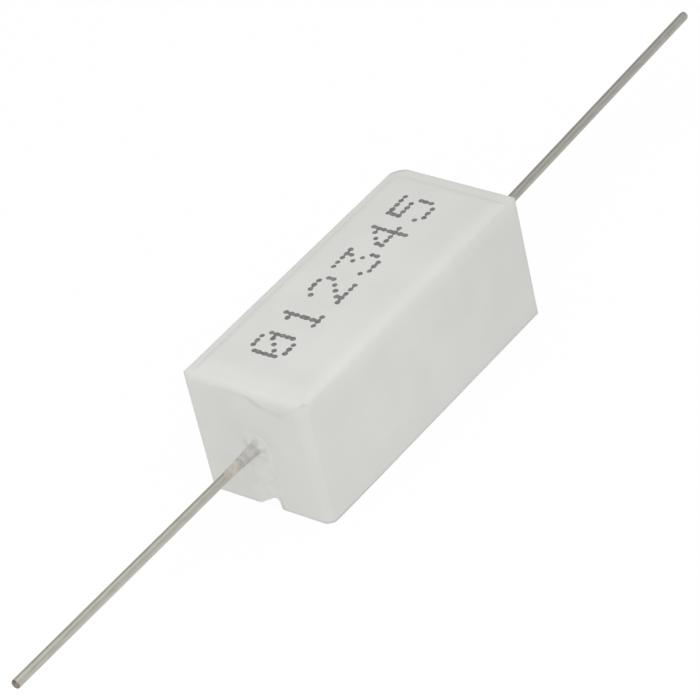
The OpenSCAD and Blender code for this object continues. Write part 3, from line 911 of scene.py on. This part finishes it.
# %% [markdown]
# ## Room and lamps
# The room over the table is white, brighter overhead, and dimmer on the left behind and at the near
# end, which is what tells the faces of a white body apart. Two small softboxes beside the camera add
# the rest. All of it together lights a face at about the level at which its colour is written.

# %% Room and lamps
ROOM_LEVEL = 0.825     # radiance of the white walls
ZENITH_LEVEL = 1.27    # radiance of the diffuser overhead
LEFT_DIMMER = 0.35     # share of light missing on the left behind, and low on the left
NEAR_DIMMER = 0.14     # share of light missing at the near end
# Ranges of a direction's parts along the room: x from near to far, y from right to left, and z up.
OVERHEAD = {1: 0.6, 2: 1.0, 3: ROOM_LEVEL, 4: ZENITH_LEVEL}
LEFT = {1: 0.0, 2: 0.6}
BEHIND = {1: 0.0, 2: 0.5}
LOW = {1: 0.6, 2: 0.1}
LEFT_DIMMED = {3: 1.0, 4: 1.0 - LEFT_DIMMER}
NEAR_DIMMED = {1: 0.0, 2: -0.7, 3: 1.0, 4: 1.0 - NEAR_DIMMER}
LAMP_SIDE = 0.06       # m, of each square softbox
LAMP_AIM = (0, 0, 0.005)           # m, the middle of the part
LEFT_LAMP, LEFT_WATTS = (-0.094, -0.047, 0.078), 0.0195
RIGHT_LAMP, RIGHT_WATTS = (-0.058, -0.091, 0.072), 0.0048


def white_room():
    """World that glows as the walls and the diffuser of a white room do."""
    world = bpy.data.worlds.new("white_room")
    bpy.context.scene.world = world
    world.use_nodes = True
    tree = world.node_tree
    tree.nodes.clear()
    x, y, z = add(tree, "SeparateXYZ", {0: add(tree, "TexCoord", out="Generated")}).node.outputs
    left, behind, low = [add(tree, "MapRange", {0: way, **ends}, **SOFTLY)
                         for way, ends in ((y, LEFT), (x, BEHIND), (z, LOW))]
    either = add(tree, "Math", {0: behind, 1: low}, operation="MAXIMUM")
    both = add(tree, "Math", {0: left, 1: either}, **MULTIPLY)
    level = add(tree, "MapRange", {0: z, **OVERHEAD}, **SOFTLY)
    for way, ends in ((both, LEFT_DIMMED), (x, NEAR_DIMMED)):
        dimmer = add(tree, "MapRange", {0: way, **ends}, **SOFTLY)
        level = add(tree, "Math", {0: level, 1: dimmer}, **MULTIPLY)
    sky = add(tree, "Background", {"Color": WHITE, "Strength": level})
    add(tree, "OutputWorld", {"Surface": sky})


def softbox(name, place, watts):
    """Square lamp that looks at the part and isn't seen itself."""
    data = bpy.data.lights.new(name, "AREA")
    data.shape = "SQUARE"
    data.size = LAMP_SIDE
    data.energy = watts
    lamp = in_scene(name, data)
    lamp.location = place
    lamp.rotation_euler = (Vector(LAMP_AIM) - Vector(place)).to_track_quat("-Z", "Y").to_euler()
    lamp.visible_camera = False


white_room()
softbox("left_softbox", LEFT_LAMP, LEFT_WATTS)
softbox("right_softbox", RIGHT_LAMP, RIGHT_WATTS)

# %% [markdown]
# ## Camera
# The photograph was taken with a long lens from the near right, 37 degrees above the floor. The place,
# the turn and the focal length come from fitting the body's edges and both wires in the picture.

# %% Camera
SENSOR = 36.0      # mm
LENS = 198.068     # mm
CAMERA_PLACE = Vector((-134.0393, -129.7721, 142.1856)) * MM
CAMERA_RIGHT = Vector((0.58002264, -0.79243376, -0.18873919))
CAMERA_DOWN = Vector((-0.5776324, -0.23673108, -0.78121649))
CAMERA_AHEAD = Vector((0.57438189, 0.56214512, -0.5950448))
HALF_PIXEL = 0.5 / 700     # the fit counts from the first pixel's middle, the lens from its corner
SEEN_FROM, SEEN_TO = 0.01, 10.0    # m from the lens


def photo_camera():
    """Camera at the place, with the turn and the lens, of the one that took the photograph."""
    data = bpy.data.cameras.new("camera")
    data.sensor_width = SENSOR
    data.lens = LENS
    data.shift_x = -HALF_PIXEL
    data.shift_y = HALF_PIXEL
    data.clip_start = SEEN_FROM
    data.clip_end = SEEN_TO
    camera = in_scene("camera", data)
    turn = Matrix((CAMERA_RIGHT, -CAMERA_DOWN, -CAMERA_AHEAD)).transposed()
    camera.matrix_world = Matrix.Translation(CAMERA_PLACE) @ turn.to_4x4()
    bpy.context.scene.camera = camera


photo_camera()
bpy.context.scene.view_settings.view_transform = "Standard"
